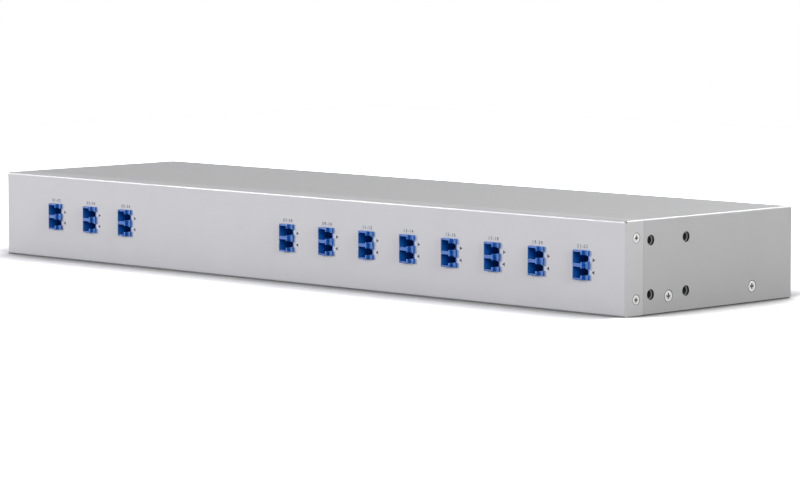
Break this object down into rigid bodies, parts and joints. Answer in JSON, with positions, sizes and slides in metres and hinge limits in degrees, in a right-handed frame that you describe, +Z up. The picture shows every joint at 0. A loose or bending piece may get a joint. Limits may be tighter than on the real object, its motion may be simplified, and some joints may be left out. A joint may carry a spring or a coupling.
{
  "type": "coarse wavelength division multiplexer",
  "caption": "Passive rack-mount wavelength multiplexer: a low folded steel enclosure with a row of blue duplex fibre adapters across its front panel and filter modules inside.",
  "frame": {"origin": "centre of the underside of the overall box", "axes": "+X to the right across the front panel, +Y from front to back, +Z up"},
  "size_m": [0.44, 0.122, 0.044],
  "materials": {
    "panel_paint": "satin light grey powder coat",
    "shell_paint": "satin light grey powder coat",
    "zinc_steel": "zinc plated",
    "spring_steel": "bright spring strip",
    "screw_steel": "nickel plated",
    "filter_steel": "drawn tube",
    "adapter_blue": "moulded, semi-gloss",
    "ceramic": "polished zirconia",
    "boot_white": "matt",
    "fibre_jacket": "matt buffer",
    "module_plastic": "moulded, fine texture",
    "foam": "closed cell foam"
  },
  "bodies": {
    "root": {"front_panel": "panel_paint", "shell": "shell_paint", "base_plate": "shell_paint", "panel_bracket_right": "zinc_steel", "panel_bracket_left": "zinc_steel", "ear_nuts_right": "zinc_steel", "ear_nuts_left": "zinc_steel", "panel_screws": "screw_steel", "base_screws": "screw_steel", "module_shelf": "zinc_steel", "foam_pads": "foam", "fibre_combs": "module_plastic", "adapter_clips": "spring_steel", "split_sleeves": "ceramic", "lc_adapter_01": "adapter_blue", "lc_adapter_02": "adapter_blue", "lc_adapter_03": "adapter_blue", "lc_adapter_04": "adapter_blue", "lc_adapter_05": "adapter_blue", "lc_adapter_06": "adapter_blue", "lc_adapter_07": "adapter_blue", "lc_adapter_08": "adapter_blue", "lc_adapter_09": "adapter_blue", "lc_adapter_10": "adapter_blue", "lc_adapter_11": "adapter_blue", "adapter_backs": "adapter_blue", "mux_ferrules": "ceramic", "mux_plugs": "adapter_blue", "mux_boots": "boot_white", "mux_fibres": "fibre_jacket", "mux_case": "module_plastic", "mux_lid": "module_plastic", "mux_filters": "filter_steel", "mux_fibre_coil": "fibre_jacket", "demux_ferrules": "ceramic", "demux_plugs": "adapter_blue", "demux_boots": "boot_white", "demux_fibres": "fibre_jacket", "demux_case": "module_plastic", "demux_lid": "module_plastic", "demux_filters": "filter_steel", "demux_fibre_coil": "fibre_jacket"}
  },
  "joints": []
}
